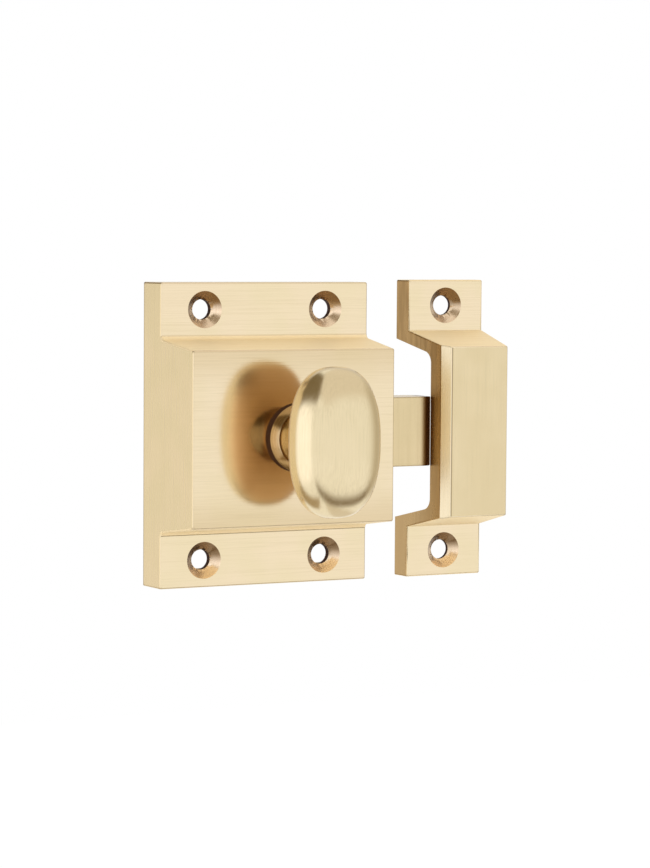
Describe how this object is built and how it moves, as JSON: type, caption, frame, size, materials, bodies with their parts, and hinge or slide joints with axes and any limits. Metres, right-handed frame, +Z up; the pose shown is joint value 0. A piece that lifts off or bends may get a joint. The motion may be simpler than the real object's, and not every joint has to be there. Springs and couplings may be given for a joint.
{
  "type": "cupboard catch",
  "caption": "Surface cupboard catch: an upright oval knob turns a cam that draws back a sprung bolt, which snaps into a separate screwed-on keeper.",
  "frame": {"origin": "on the face of the door, in line with the knob's axis, which stands 0.8 mm towards the keeper from the middle of the case's four screw holes", "axes": "+Z up, -Y out of the door towards the user, +X from the case to the keeper"},
  "size_m": [0.0748, 0.0417, 0.0608],
  "materials": {
    "brass_case": "satin, brushed",
    "brass_keeper": "satin, brushed",
    "brass_bolt": "satin",
    "brass_knob": "satin",
    "spring_steel": "bright wire",
    "steel": "machined",
    "plated_steel": "plated"
  },
  "bodies": {
    "case_body": {"case": "brass_case", "cover_plate": "plated_steel", "cover_screw_upper_left": "plated_steel", "cover_screw_upper_right": "plated_steel", "cover_screw_lower_left": "plated_steel", "cover_screw_lower_right": "plated_steel", "bolt_spring": "spring_steel", "keeper": "brass_keeper"},
    "bolt_body": {"bolt": "brass_bolt"},
    "knob_body": {"knob": "brass_knob", "spindle": "steel", "cam": "steel", "cam_washer": "steel", "cam_screw": "steel"}
  },
  "joints": [
    {"name": "knob_turn", "type": "hinge", "parent": "case_body", "child": "knob_body", "pos_m": [0, -0.0202, 0], "axis": [0, -1, 0], "range_deg": [0, 80.3], "stiffness_Nm_per_rad": 0.04875, "springref_deg": -34.38},
    {"name": "bolt_slide", "type": "slide", "parent": "case_body", "child": "bolt_body", "axis": [-1, 0, 0], "range_m": [0, 0.007], "deforming": ["bolt_spring"]}
  ],
  "couplings": [
    {"joint": "knob_turn", "follows": "bolt_slide", "rad_per_m": 200}
  ]
}
